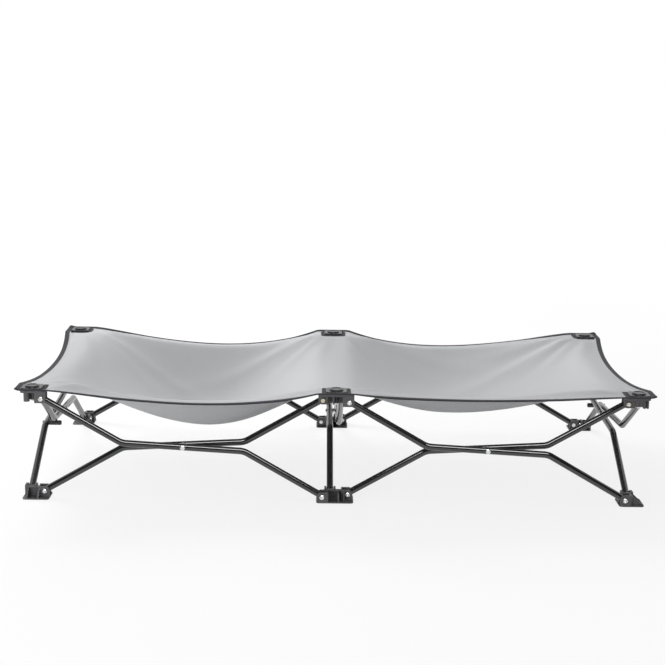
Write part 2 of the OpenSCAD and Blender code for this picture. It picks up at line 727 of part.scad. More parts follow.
at_near_left(foot_pivot) corner_foot();  // foot_near_left
at_near_mid(foot_pivot) middle_foot();  // foot_near_mid
at_near_right(foot_pivot) corner_foot();  // foot_near_right
at_far_left(foot_pivot) corner_foot();  // foot_far_left
at_far_mid(foot_pivot) middle_foot();  // foot_far_mid
at_far_right(foot_pivot) corner_foot();  // foot_far_right
at_near_left(foot_pivot) corner_foot_bolts();  // foot_bolts_near_left
at_near_mid(foot_pivot) middle_foot_bolts();  // foot_bolts_near_mid
at_near_right(foot_pivot) corner_foot_bolts();  // foot_bolts_near_right
at_far_left(foot_pivot) corner_foot_bolts();  // foot_bolts_far_left
at_far_mid(foot_pivot) middle_foot_bolts();  // foot_bolts_far_mid
at_far_right(foot_pivot) corner_foot_bolts();  // foot_bolts_far_right
at_near_left(top_pivot) corner_hub();  // hub_near_left
at_near_mid(top_pivot) middle_hub();  // hub_near_mid
at_near_right(top_pivot) corner_hub();  // hub_near_right
at_far_left(top_pivot) corner_hub();  // hub_far_left
at_far_mid(top_pivot) middle_hub();  // hub_far_mid
at_far_right(top_pivot) corner_hub();  // hub_far_right
at_near_left(top_pivot) corner_hub_bolts();  // hub_bolts_near_left
at_near_mid(top_pivot) middle_hub_bolts();  // hub_bolts_near_mid
at_near_right(top_pivot) corner_hub_bolts();  // hub_bolts_near_right
at_far_left(top_pivot) corner_hub_bolts();  // hub_bolts_far_left
at_far_mid(top_pivot) middle_hub_bolts();  // hub_bolts_far_mid
at_far_right(top_pivot) corner_hub_bolts();  // hub_bolts_far_right
rise(-mid_arm, -hub_y - half_gap, 180) bent_tube();  // tube_near_left_a
rise(corner_arm - hub_x, half_gap - hub_y, 0) bent_tube();  // tube_near_left_b
rise(hub_x - corner_arm, -hub_y - half_gap, 180) bent_tube();  // tube_near_right_a
rise(mid_arm, half_gap - hub_y, 0) bent_tube();  // tube_near_right_b
rise(corner_arm - hub_x, hub_y + half_gap, 0) bent_tube();  // tube_far_left_a
rise(-mid_arm, hub_y - half_gap, 180) bent_tube();  // tube_far_left_b
rise(mid_arm, hub_y + half_gap, 0) bent_tube();  // tube_far_right_a
rise(hub_x - corner_arm, hub_y - half_gap, 180) bent_tube();  // tube_far_right_b
rise(-hub_x - half_gap, corner_arm - hub_y, 90) bent_tube(true);  // tube_left_end_a
rise(half_gap - hub_x, hub_y - corner_arm, 270) bent_tube();  // tube_left_end_b
rise(-half_gap, corner_arm - hub_y, 90) bent_tube();  // tube_mid_a
rise(half_gap, hub_y - corner_arm, 270) bent_tube();  // tube_mid_b
rise(hub_x + half_gap, hub_y - corner_arm, 270) bent_tube(true);  // tube_right_end_a
rise(hub_x - half_gap, corner_arm - hub_y, 90) bent_tube();  // tube_right_end_b
crossing(-mid_arm - tube_span / 2, -hub_y, 0) centre_rivet();  // rivet_near_left
crossing(mid_arm + tube_span / 2, -hub_y, 0) centre_rivet();  // rivet_near_right
crossing(-mid_arm - tube_span / 2, hub_y, 180) centre_rivet();  // rivet_far_left
crossing(mid_arm + tube_span / 2, hub_y, 180) centre_rivet();  // rivet_far_right
crossing(-hub_x, 0, 270) centre_rivet();  // rivet_left_end
crossing(0, 0, 270) centre_rivet();  // rivet_mid
crossing(hub_x, 0, 90) centre_rivet();  // rivet_right_end
at_peg() stop_peg();  // stop_peg_left
rotate([0, 0, 180]) at_peg() stop_peg();  // stop_peg_right
sling();
edge_binding();
corner_patches();
on_deck(-hub_x, -hub_y) clamp_cap();  // cap_near_left
on_deck(0, -hub_y) clamp_cap();  // cap_near_mid
on_deck(hub_x, -hub_y) clamp_cap();  // cap_near_right
on_deck(-hub_x, hub_y) clamp_cap();  // cap_far_left
on_deck(0, hub_y) clamp_cap();  // cap_far_mid
on_deck(hub_x, hub_y) clamp_cap();  // cap_far_right
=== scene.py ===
import math

import bmesh
import bpy
import numpy as np
from mathutils import Matrix, Vector


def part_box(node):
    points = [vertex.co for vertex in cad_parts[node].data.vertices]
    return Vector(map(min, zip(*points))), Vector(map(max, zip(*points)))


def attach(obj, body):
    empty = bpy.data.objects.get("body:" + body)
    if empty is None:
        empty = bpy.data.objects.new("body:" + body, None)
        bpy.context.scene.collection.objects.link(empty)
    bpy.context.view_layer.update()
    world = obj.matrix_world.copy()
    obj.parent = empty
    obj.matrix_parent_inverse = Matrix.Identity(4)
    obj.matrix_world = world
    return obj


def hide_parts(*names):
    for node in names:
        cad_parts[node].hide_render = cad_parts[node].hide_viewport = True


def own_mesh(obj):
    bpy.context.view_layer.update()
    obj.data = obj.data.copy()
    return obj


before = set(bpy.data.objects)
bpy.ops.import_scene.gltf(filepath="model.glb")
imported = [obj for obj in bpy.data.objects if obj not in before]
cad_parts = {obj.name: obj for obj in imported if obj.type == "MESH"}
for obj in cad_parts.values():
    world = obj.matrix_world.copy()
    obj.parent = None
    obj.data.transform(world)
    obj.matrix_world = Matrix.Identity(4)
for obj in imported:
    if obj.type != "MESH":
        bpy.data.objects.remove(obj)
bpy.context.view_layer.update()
scene = bpy.context.scene
scene.view_settings.view_transform = "Standard"


# The studio: a pale floor that runs out into a white backdrop. The main softbox stands behind the cot at
# the left, a strip above the near edge shows only in gloss, and a weaker softbox stands in front at the
# left. The camera has a long lens and stands a little above the cot.
image_px = 665
focal_px = 1439
eye = Vector((-0.044, -2.903, 0.8406))
turn, tilt, lean = (math.radians(angle) for angle in (-0.765, -11.125, -0.903))
camera = bpy.data.objects.new("camera", bpy.data.cameras.new("camera"))
scene.collection.objects.link(camera)
camera.data.lens = focal_px / image_px * camera.data.sensor_width
aim = Matrix.Rotation(turn, 3, "Z") @ Matrix.Rotation(tilt, 3, "X") @ Matrix.Rotation(lean, 3, "Y")
aim = aim @ Matrix.Rotation(math.pi / 2, 3, "X")
camera.matrix_world = Matrix.Translation(eye) @ aim.to_4x4()
scene.camera = camera


class Finish:
    """A value, colour or vector on its way to a shader. Sums on values add Math nodes."""

    def __init__(self, tree, socket=None):
        self.tree = tree
        self.socket = socket

    def node(self, kind, settings=(), inputs=(), output=0):
        made = self.tree.nodes.new("ShaderNode" + kind)
        for name, value in dict(settings).items():
            setattr(made, name, value)
        for name, value in dict(inputs).items():
            if isinstance(value, Finish):
                self.tree.links.new(value.socket, made.inputs[name])
            else:
                made.inputs[name].default_value = value
        return Finish(self.tree, made.outputs[output])

    def math(self, operation, first, second=0.0):
        return self.node("Math", {"operation": operation}, {0: first, 1: second})

    def __add__(self, other):
        return self.math("ADD", self, other)

    def __sub__(self, other):
        return self.math("SUBTRACT", self, other)

    def __mul__(self, other):
        return self.math("MULTIPLY", self, other)

    def __radd__(self, other):
        return self.math("ADD", other, self)

    def __rsub__(self, other):
        return self.math("SUBTRACT", other, self)

    def __rmul__(self, other):
        return self.math("MULTIPLY", other, self)


def dressed(name, paint):
    """A material with the shader that paint makes."""
    material = bpy.data.materials.new(name)
    material.use_nodes = True
    tree = material.node_tree
    tree.nodes.clear()
    shader = paint(Finish(tree))
    end = tree.nodes.new("ShaderNodeOutputMaterial")
    tree.links.new(shader.socket, end.inputs["Surface"])
    return material


def looked_at(f):
    """1 for what the camera sees, straight or in gloss and glass."""
    ray = f.node("LightPath", output="Is Camera Ray")
    for seen in ("Is Glossy Ray", "Is Transmission Ray"):
        ray = f.math("MAXIMUM", ray, f.node("LightPath", output=seen))
    return ray


def pale_floor(f):
    place = f.node("TexCoord", output="Object")
    away = f.node("VectorMath", {"operation": "LENGTH"}, {0: place}, "Value")
    fade = f.node("MapRange", {"interpolation_type": "SMOOTHSTEP"},
                  {"Value": away, "From Min": 0.5, "From Max": 2.6, "To Min": 0.82})
    paint = f.node("BsdfDiffuse", {}, {"Color": (0.88, 0.88, 0.88, 1)})
    white = f.node("Emission", {}, {"Color": (1, 1, 1, 1), "Strength": 1})
    return f.node("MixShader", {}, {0: fade * looked_at(f), 1: paint, 2: white})


floor_r = 30
floor_gap = 0.0002
floor_mesh = bpy.data.meshes.new("floor")
floor_form = bmesh.new()
bmesh.ops.create_circle(floor_form, cap_ends=True, radius=floor_r, segments=96)
floor_form.to_mesh(floor_mesh)
floor_form.free()
floor = bpy.data.objects.new("floor", floor_mesh)
floor.location.z = -floor_gap
floor_mesh.materials.append(dressed("pale_floor", pale_floor))
scene.collection.objects.link(floor)

world = bpy.data.worlds.new("white_room")
world.use_nodes = True
world.node_tree.nodes.clear()
room = Finish(world.node_tree)
shade_level = 0.45
dark_side = 0.06
facing = room.node("SeparateXYZ", {}, {0: room.node("TexCoord", output="Generated")}, "Y")
backdrop = room.node("MapRange", {"interpolation_type": "SMOOTHSTEP"},
                     {"Value": facing, "From Min": -0.35, "From Max": 0.25, "To Min": dark_side})
backdrop = room.math("MAXIMUM", backdrop, room.node("LightPath", output="Is Camera Ray"))
level = shade_level + looked_at(room) * (backdrop - shade_level)
room = room.node("Background", {}, {"Color": (1, 1, 1, 1), "Strength": level})
world_end = world.node_tree.nodes.new("ShaderNodeOutputWorld")
world.node_tree.links.new(room.socket, world_end.inputs["Surface"])
scene.world = world


def softbox(name, place, target, size, power, in_gloss=True, on_matt=True):
    lamp = bpy.data.lights.new(name, "AREA")
    lamp.shape = "RECTANGLE"
    lamp.size, lamp.size_y = size
    lamp.energy = power
    holder = bpy.data.objects.new(name, lamp)
    holder.location = place
    holder.rotation_euler = (Vector(target) - Vector(place)).to_track_quat("-Z", "Y").to_euler()
    holder.visible_glossy = in_gloss
    holder.visible_diffuse = on_matt
    scene.collection.objects.link(holder)


softbox("broad_softbox", (-1.3, 1.9, 1.7), (0, 0, 0.15), (1.3, 1.3), 80, in_gloss=False)
softbox("strip_light", (0.1, -1.7, 2.1), (0, -0.2, 0.1), (2.8, 0.9), 76, on_matt=False)
softbox("front_softbox", (-1.6, -2.6, 0.6), (0, -0.2, 0.12), (1.6, 1.0), 46, in_gloss=False)


# Feet: glass-filled nylon mouldings with a fine spark-eroded grain and soft edges, a little paler where
# they rub. A base plate, a tube socket with sloping ribs and a side clevis, straight from the mould.
places = [side + "_" + spot for side in ("near", "far") for spot in ("left", "mid", "right")]


def moulded_nylon(f):
    place = f.node("TexCoord", output="Object")
    grain = f.node("TexNoise", {}, {"Vector": place, "Scale": 1900, "Detail": 2})
    flow = f.node("TexNoise", {}, {"Vector": place, "Scale": 38, "Detail": 4, "Roughness": 0.6})
    soft = f.node("Bevel", {"samples": 6}, {"Radius": 0.0009})
    sharp = f.node("NewGeometry", output="Normal")
    rub = 1 - f.node("VectorMath", {"operation": "DOT_PRODUCT"}, {0: soft, 1: sharp}, "Value")
    rub = f.node("MapRange", {}, {"Value": rub * (0.5 + flow), "From Min": 0.03, "From Max": 0.3})
    deep = f.node("Mix", {"data_type": "RGBA"},
                  {0: flow, 6: (0.057, 0.055, 0.058, 1), 7: (0.087, 0.084, 0.088, 1)}, 2)
    colour = f.node("Mix", {"data_type": "RGBA"}, {0: rub * 0.5, 6: deep, 7: (0.17, 0.17, 0.17, 1)}, 2)
    bump = f.node("Bump", {}, {"Strength": 0.25, "Distance": 0.0002, "Height": grain, "Normal": soft})
    return f.node("BsdfPrincipled", {}, {
        "Base Color": colour, "Roughness": 0.36 + flow * 0.22, "Normal": bump, "Specular IOR Level": 0.5})


nylon = dressed("moulded_nylon", moulded_nylon)
for spot in places:
    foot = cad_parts["foot_" + spot]
    foot.data.materials.clear()
    foot.data.materials.append(nylon)


# Pivot bolts, nuts and crossing rivets: zinc plated steel, dulled by handling. The feet's bolts and the
# rivets are clear, and the hubs' bolts are yellow in places. The bolt heads have a single slot.
def zinc_plate(f, yellow):
    place = f.node("TexCoord", output="Object")
    mirrored = f.node("VectorMath", {"operation": "MULTIPLY"}, {0: place, 1: (-1, 1, 1)})
    cloud = f.node("TexNoise", {}, {"Vector": mirrored, "Scale": 9, "Detail": 3})
    dull = f.node("TexNoise", {}, {"Vector": place, "Scale": 700, "Detail": 3})
    soft = f.node("Bevel", {"samples": 6}, {"Radius": 0.0004})
    tint = f.node("MapRange", {}, {"Value": cloud, "From Min": 0.45, "From Max": 0.62, "To Max": yellow})
    colour = f.node("Mix", {"data_type": "RGBA"},
                    {0: tint, 6: (0.74, 0.75, 0.76, 1), 7: (0.80, 0.74, 0.55, 1)}, 2)
    bump = f.node("Bump", {}, {"Strength": 0.1, "Distance": 0.0001, "Height": dull, "Normal": soft})
    return f.node("BsdfPrincipled", {}, {
        "Base Color": colour, "Metallic": 1.0, "Roughness": 0.2 + dull * 0.25, "Normal": bump})


clear_zinc = dressed("clear_zinc", lambda f: zinc_plate(f, 0))
yellow_zinc = dressed("yellow_zinc", lambda f: zinc_plate(f, 1))
crossings = ["near_left", "near_right", "far_left", "far_right", "left_end", "mid", "right_end"]
fasteners = [kind + spot for kind in ("foot_bolts_", "hub_bolts_") for spot in places]
for name in fasteners + ["rivet_" + spot for spot in crossings]:
    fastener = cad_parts[name]
    fastener.data.materials.clear()
    fastener.data.materials.append(yellow_zinc if name.startswith("hub") else clear_zinc)


# Tubes: bent steel tube in black gloss enamel, with the slight orange peel of a sprayed coat and a
# little dust. Each runs from a foot to a hub and crosses its partner on a rivet.
def black_enamel(f):
    place = f.node("TexCoord", output="Object")
    peel = f.node("TexNoise", {}, {"Vector": place, "Scale": 420, "Detail": 1})
    wipe = f.node("TexNoise", {}, {"Vector": place, "Scale": 26, "Detail": 4})
    speck = f.node("TexNoise", {}, {"Vector": place, "Scale": 900, "Detail": 0})
    speck = f.node("MapRange", {}, {"Value": speck, "From Min": 0.70, "From Max": 0.78})
    colour = f.node("Mix", {"data_type": "RGBA"},
                    {0: speck * 0.18, 6: (0.0065, 0.0065, 0.007, 1), 7: (0.09, 0.09, 0.09, 1)}, 2)
    bump = f.node("Bump", {}, {"Strength": 0.03, "Distance": 0.0004, "Height": peel})
    return f.node("BsdfPrincipled", {}, {
        "Base Color": colour, "Roughness": 0.07 + wipe * 0.09, "Normal": bump, "IOR": 1.75})


enamel = dressed("black_enamel", black_enamel)
for spot in crossings:
    for half in ("_a", "_b"):
        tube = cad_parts["tube_" + spot + half]
        tube.data.materials.clear()
        tube.data.materials.append(enamel)


# Stop pegs: short dark rods riveted to the outer end tubes. The inner end tubes come to rest on them when
# the cot stands open.
def dark_rod(f):
    place = f.node("TexCoord", output="Object")
    scuff = f.node("TexNoise", {}, {"Vector": place, "Scale": 160, "Detail": 5})
    soft = f.node("Bevel", {"samples": 6}, {"Radius": 0.0008})
    colour = f.node("Mix", {"data_type": "RGBA"},
                    {0: scuff, 6: (0.02, 0.02, 0.021, 1), 7: (0.045, 0.045, 0.046, 1)}, 2)
    bump = f.node("Bump", {}, {"Strength": 0.12, "Distance": 0.0002, "Height": scuff, "Normal": soft})
    return f.node("BsdfPrincipled", {}, {
        "Base Color": colour, "Roughness": 0.38 + scuff * 0.2, "Normal": bump})


rod = dressed("dark_rod", dark_rod)
for end in ("left", "right"):
    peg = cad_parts["stop_peg_" + end]
    peg.data.materials.clear()
    peg.data.materials.append(rod)


# Hubs: mouldings of the same nylon as the feet. A top plate over two or three clevises, in which the
# tubes' upper ends pivot on bolts, with a post at the corners.
for spot in places:
    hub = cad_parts["hub_" + spot]
    hub.data.materials.clear()
    hub.data.materials.append(nylon)


# The sling: one piece of grey oxford polyester, clamped over the six hubs and pulled to folds there.
# It has stretched to a deeper belly in the left bay (-1) than in the right (1). Each belly is lowest at a
# share of its bay from the cot's end. Wide hems run along the long edges.
hub_x, hub_y = ((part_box("cap_near_right")[0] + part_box("cap_near_right")[1]) / 2).xy
hub_y = -hub_y
rim_x, rim_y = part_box("edge_binding")[1].xy
cloth_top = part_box("corner_patches")[0].z
cloth_t = 0.0009
hub_grip = 0.0285
flat_x = hub_x - hub_grip
flat_y = hub_y - hub_grip
flat_mid = 0.0345
belly = {-1: 0.097, 1: 0.063}
low_at = {-1: 0.55, 1: 0.56}
outer_ease = {-1: 0.78, 1: 0.68}
inner_ease = {-1: 1.2, 1: 1.0}
fullness = 2.3
bend_columns = 9
edge_sag = {-1: 0.027, 1: 0.014}
far_sag = 0.025
end_sag = 0.014
mid_sag = 0.040
side_bow = 0.026
end_bow = 0.018
end_bow_from = 0.55
edge_lean = 1.3
hem_w = 0.062
hem_rows = 8
panel_rows = 34
columns = 163


def bay(x):
    """0 at the cot's ends and 1 at its middle hubs."""
    return np.clip((flat_x - np.abs(x)) / (flat_x - flat_mid), 0, 1)


def hump(t):
    """The curve of a long edge between two hubs."""
    return 4 * t ** edge_lean * (1 - t ** edge_lean)


def across(y, power):
    """0 at the long edges and 1 on the middle line."""
    return np.clip(1 - np.abs(y / flat_y) ** power, 0, 1)


def by_bay(x, pair):
    return np.where(x < 0, pair[-1], pair[1])


def dip(x):
    """The belly's fall along a bay, from the end to the middle of the cot."""
    lean = math.log(0.5) / np.log(by_bay(x, low_at))
    gone = bay(x) ** lean
    ease = np.where(gone < 0.5, by_bay(x, outer_ease), by_bay(x, inner_ease))
    return np.sin(math.pi * gone) ** ease


half_rows = np.concatenate([
    np.linspace(0, 1, hem_rows, endpoint=False), 1 + np.linspace(0, 1, panel_rows, endpoint=False)])
share = np.linspace(-1, 1, columns)[None, :]
along = share * rim_x
edge_y = rim_y - side_bow * hump(bay(along))
row = half_rows[:, None]
near_y = -np.where(row < 1, edge_y - hem_w * row, (edge_y - hem_w) * (2 - row))
sheet_y = np.concatenate([near_y, 0 * edge_y, -near_y[::-1]])
pull = np.clip((np.abs(share) - end_bow_from) / (1 - end_bow_from), 0, 1) ** 2
sheet_x = along - np.sign(along) * end_bow * across(sheet_y, 2) * pull
edge_depth = np.where((along > 0) & (sheet_y > 0), far_sag, by_bay(along, edge_sag))
edge_drop = edge_depth * hump(bay(along))
line_drop = end_sag + (mid_sag - end_sag) * bay(along) + by_bay(along, belly) * dip(along)
bend = np.hanning(bend_columns + 2)[1:-1]
line_drop = np.pad(line_drop[0], bend_columns // 2, "edge")
line_drop = np.convolve(line_drop, bend / bend.sum(), "valid")[None, :]
sheet_z = cloth_top - edge_drop - (line_drop - edge_drop) * across(sheet_y, fullness)

# Tension folds run from each hub into the bays: angle from the long edge in degrees, length and height.
# They start clear of the hub, rise, and then widen and fade. Angles and lengths vary a little.
corner_folds = [
    (6, 0.34, 0.0040), (17, 0.44, 0.0070), (29, 0.46, 0.0060), (43, 0.36, 0.0064),
    (58, 0.28, 0.0044), (73, 0.24, 0.0040), (85, 0.20, 0.0030)]
middle_folds = [
    (8, 0.34, 0.0040), (20, 0.38, 0.0064), (35, 0.30, 0.0048), (52, 0.24, 0.0040), (70, 0.18, 0.0030)]
fold_from = 0.03
fold_rise = 0.05
fold_w = 0.006
fold_flare = 0.055
fold_fade = 1.2
angle_vary = 5
length_vary = 0.25
sheet_x, sheet_y, sheet_z = np.broadcast_arrays(sheet_x, sheet_y, sheet_z)
for k, (cx, cy) in enumerate([(x, y) for x in (-hub_x, 0, hub_x) for y in (-hub_y, hub_y)]):
    for way in (-1, 1):
        if cx * way > 0:
            continue
        for n, (angle, length, height) in enumerate(corner_folds if cx else middle_folds):
            angle = math.radians(angle + angle_vary * math.sin(2.3 * k + 1.9 * n + way))
            length = length * (1 + length_vary * math.sin(1.7 * k + 2.6 * n))
            out_x, out_y = way * math.cos(angle), -math.copysign(math.sin(angle), cy)
            gone = np.clip(((sheet_x - cx) * out_x + (sheet_y - cy) * out_y) / length, 0, 1)
            aside = (sheet_y - cy) * out_x - (sheet_x - cx) * out_y
            spread = fold_w + fold_flare * gone * length
            rise = np.clip((gone * length - fold_from) / fold_rise, 0, 1) * (1 - gone) ** fold_fade
            sheet_z = sheet_z + height * rise * np.exp(-(aside / spread) ** 2)

# The corners beyond the hubs turn up a little.
tip_from = 0.016
tip_slope = 0.22
tip_x = np.clip(np.abs(sheet_x) - hub_x - tip_from, 0, 1)
tip_y = np.clip(np.abs(sheet_y) - hub_y - tip_from, 0, 1)
sheet_z = sheet_z + tip_slope * (tip_x + tip_y)

sheet = np.stack([sheet_x, sheet_y, sheet_z], axis=-1)
step_x = np.gradient(sheet, axis=1)
step_y = np.gradient(sheet, axis=0)
sheet_up = np.cross(step_x, step_y)
sheet_up /= np.linalg.norm(sheet_up, axis=-1, keepdims=True)

# The four corners are cut blunt.
corner_cut = 0.0028
for j in (0, -1):
    for i in (0, -1):
        sheet[j, i, :2] -= corner_cut * np.sign(sheet[j, i, :2])


def oxford_cloth(f):
    place = f.node("TexCoord", output="Object")
    warp = f.node("TexWave", {"bands_direction": "X"}, {"Vector": place, "Scale": 520})
    weft = f.node("TexWave", {"bands_direction": "Y"}, {"Vector": place, "Scale": 520})
    slub = f.node("TexNoise", {}, {"Vector": place, "Scale": 260, "Detail": 3})
    cloud = f.node("TexNoise", {}, {"Vector": place, "Scale": 6, "Detail": 5, "Roughness": 0.6})
    weave = warp * 0.5 + weft * 0.5
    mottle = weave * 0.5 + slub * 0.3 + cloud * 0.25
    tone = f.node("Mix", {"data_type": "RGBA"},
                  {0: mottle, 6: (0.445, 0.450, 0.462, 1), 7: (0.545, 0.550, 0.562, 1)}, 2)
    bump = f.node("Bump", {}, {"Strength": 0.35, "Distance": 0.0003, "Height": weave + slub * 0.4})
    return f.node("BsdfPrincipled", {}, {
        "Base Color": tone, "Roughness": 0.72 + slub * 0.15, "Normal": bump,
        "Sheen Weight": 0.15, "Sheen Roughness": 0.4, "Specular IOR Level": 0.3})


oxford = dressed("oxford_cloth", oxford_cloth)


def cloth_shell(name, top, up, thick, material):
    """A closed sheet with the given top points and their normals."""
    rows, cols = top.shape[:2]
    count = rows * cols
    index = np.arange(count).reshape(rows, cols)
    upper = np.stack([index[:-1, :-1], index[:-1, 1:], index[1:, 1:], index[1:, :-1]], -1).reshape(-1, 4)
    rim = np.concatenate([index[0, :-1], index[:-1, -1], index[-1, :0:-1], index[:0:-1, 0]])
    after = np.roll(rim, -1)
    wall = np.stack([rim + count, after + count, after, rim], -1)
    points = np.concatenate([top.reshape(-1, 3), (top - thick * up).reshape(-1, 3)])
    mesh = bpy.data.meshes.new(name)
    mesh.from_pydata(points.tolist(), [], np.concatenate([upper, upper[:, ::-1] + count, wall]).tolist())
    mesh.shade_smooth()
    normals = np.concatenate([up.reshape(-1, 3), -up.reshape(-1, 3)])
    mesh.normals_split_custom_set_from_vertices(normals.tolist())
    mesh.materials.append(material)
    piece = bpy.data.objects.new(name, mesh)
    scene.collection.objects.link(piece)
    return piece


# As the frame folds, the sling's two halves swing down with the middle tubes, and the long edges stay on
# their hubs. A way is a body, the place towards which a piece gathers, and the share of its length that
# it keeps.
folded_share = 0.291
middle_row = hem_rows + panel_rows
end_row, end_col, mid_col = len(sheet) - 1, columns - 1, columns // 2
corner_cols = 8
mid_cols = 5
hem_zones = {
    "left": (0, corner_cols, ["left"]),
    "left_span": (corner_cols, mid_col - mid_cols, ["left", "mid"]),
    "mid": (mid_col - mid_cols, mid_col + mid_cols, ["mid"]),
    "right_span": (mid_col + mid_cols, end_col - corner_cols, ["mid", "right"]),
    "right": (end_col - corner_cols, end_col, ["right"]),
}
span_from = along[0, mid_col + mid_cols]
span_keep = 1 - hub_x * (1 - folded_share) / (along[0, end_col - corner_cols] - span_from)
half_ways = {"near": ("tube_mid_b", 0, folded_share), "far": ("tube_mid_a", 0, folded_share)}
hem_ways = {}
for side in ("near", "far"):
    hem_ways[side + "_left"] = ("hub_%s_left" % side, 0, 1)
    hem_ways[side + "_left_span"] = ("hub_%s_mid" % side, -span_from, span_keep)
    hem_ways[side + "_mid"] = ("hub_%s_mid" % side, 0, 1)
    hem_ways[side + "_right_span"] = ("hub_%s_mid" % side, span_from, span_keep)
    hem_ways[side + "_right"] = ("hub_%s_right" % side, 0, 1)


def fold_with(piece, body, start, keep):
    """The piece rides on a body, with a mesh of its own where it keeps less than its whole length. start
    is not used.
    """
    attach(piece, body)
    if keep < 1:
        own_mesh(piece)


# The panels run on under the hems for a few rows.
lap_rows = 3
lap_drop = 0.0013
lapped = sheet.copy()
for j in range(hem_rows - lap_rows, hem_rows):
    for k in (j, -1 - j):
        lapped[k] -= sheet_up[k] * lap_drop
first, last = hem_rows - lap_rows, len(sheet) - (hem_rows - lap_rows)
whole = slice(0, columns)
ends = ["left", "mid", "right"]
cloth_cuts = {
    "panel_near": (lapped, slice(first, middle_row + 1), whole, half_ways["near"], ends),
    "panel_far": (lapped, slice(middle_row, last), whole, half_ways["far"], ends),
}
for name, way in hem_ways.items():
    side, zone = name.split("_", 1)
    hem = slice(0, hem_rows + 1) if side == "near" else slice(end_row - hem_rows, end_row + 1)
    start, stop, held_at = hem_zones[zone]
    cloth_cuts["hem_" + name] = (sheet, hem, slice(start, stop + 1), way, held_at)
cloth = {}
for name, (source, rows, cols, way, held_at) in cloth_cuts.items():
    piece = cloth_shell(name, source[rows, cols], sheet_up[rows, cols], cloth_t, oxford)
    fold_with(piece, *way)
    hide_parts("sling")
    cloth[name] = piece


# Edge binding: charcoal grosgrain tape folded over the sling's edge all round and sewn through with one
# row of lockstitch near its inner edge. The profile is inwards from the edge, and up.
tape_step = 0.003
tape_profile = np.array([
    (0.0090, 0.00070), (0.0045, 0.00085), (0.0008, 0.00080), (-0.0002, 0.00035),
    (-0.0005, -0.00045), (-0.0002, -0.00125), (0.0008, -0.00170), (0.0045, -0.00175), (0.0090, -0.00160)])
corner_bulk = 0.7
bulk_reach = 0.009
tape_seam_in = 0.0072
tape_seam_up = 0.00078


def rim_run(cells):
    """Points along the rim, with the direction into the cloth and up, at even steps."""
    cell_rows, cell_cols = np.array(cells).T
    at = sheet[cell_rows, cell_cols]
    two_in = sheet[np.clip(cell_rows, 2, end_row - 2), np.clip(cell_cols, 2, end_col - 2)]
    inner = two_in - at
    inner /= np.linalg.norm(inner, axis=1, keepdims=True)
    up = sheet_up[cell_rows, cell_cols]
    gone = np.concatenate([[0], np.cumsum(np.linalg.norm(np.diff(at, axis=0), axis=1))])
    even = np.linspace(0, gone[-1], max(2, round(gone[-1] / tape_step)))
    run = []
    for part in (at, inner, up):
        run.append(np.stack([np.interp(even, gone, part[:, k]) for k in range(3)], -1))
    for part in run[1:]:
        part /= np.linalg.norm(part, axis=1, keepdims=True)
    return run


def tape_along(name, run, profile, material):
    """A tape of one profile along a run, thicker where it folds over itself at the sling's corners."""
    at, inner, up = run
    corners = sheet[[0, 0, -1, -1], [0, -1, 0, -1]]
    near_corner = np.linalg.norm(at[:, None] - corners, axis=-1).min(axis=1)
    thick = up * (1 + corner_bulk * np.exp(-(near_corner / bulk_reach) ** 2))[:, None]
    form = bmesh.new()
    rings = [[form.verts.new(p + a * i + h * u) for a, h in profile] for p, i, u in zip(at, inner, thick)]
    turns = len(profile)
    for one, two in zip(rings, rings[1:]):
        for k in range(turns):
            form.faces.new((one[k], one[(k + 1) % turns], two[(k + 1) % turns], two[k]))
    form.faces.new(rings[0])
    form.faces.new(rings[-1])
    bmesh.ops.recalc_face_normals(form, faces=form.faces)
    mesh = bpy.data.meshes.new(name)
    form.to_mesh(mesh)
    form.free()
    mesh.shade_smooth()
    mesh.set_sharp_from_angle(angle=math.radians(50))
    mesh.materials.append(material)
    piece = bpy.data.objects.new(name, mesh)
    scene.collection.objects.link(piece)
    return piece


def stitches_along(name, run, inset, lift, material):
    """A row of thread stitches along a run, each a small grain of thread."""
    stitch_pitch, stitch_len, stitch_r, sides = 0.0042, 0.0031, 0.00042, 6
    flattened = 0.8
    at, inner, up = run
    line = at + inset * inner + lift * up
    gone = np.concatenate([[0], np.cumsum(np.linalg.norm(np.diff(line, axis=0), axis=1))])
    middles = np.arange(stitch_pitch / 2, gone[-1], stitch_pitch)
    stations = [(-1, 0.25), (-0.55, 0.9), (0.55, 0.9), (1, 0.25)]
    points, faces = [], []

    def on(part, s):
        return np.array([np.interp(s, gone, part[:, k]) for k in range(3)])

    for m in middles:
        side = on(inner, m)
        high = flattened * on(up, m)
        base = len(points)
        for s, grow in stations:
            centre = on(line, m + s * stitch_len / 2)
            for k in range(sides):
                angle = 2 * math.pi * k / sides
                out = math.cos(angle) * side + math.sin(angle) * high
                points.append(centre + stitch_r * grow * out)
        for ring in range(len(stations) - 1):
            for k in range(sides):
                a = base + ring * sides + k
                b = base + ring * sides + (k + 1) % sides
                faces.append((a, b, b + sides, a + sides))
        faces.append(tuple(base + k for k in reversed(range(sides))))
        faces.append(tuple(base + (len(stations) - 1) * sides + k for k in range(sides)))
    mesh = bpy.data.meshes.new(name)
    mesh.from_pydata(points, [], faces)
    mesh.shade_smooth()
    mesh.materials.append(material)
    piece = bpy.data.objects.new(name, mesh)
    scene.collection.objects.link(piece)
    return piece


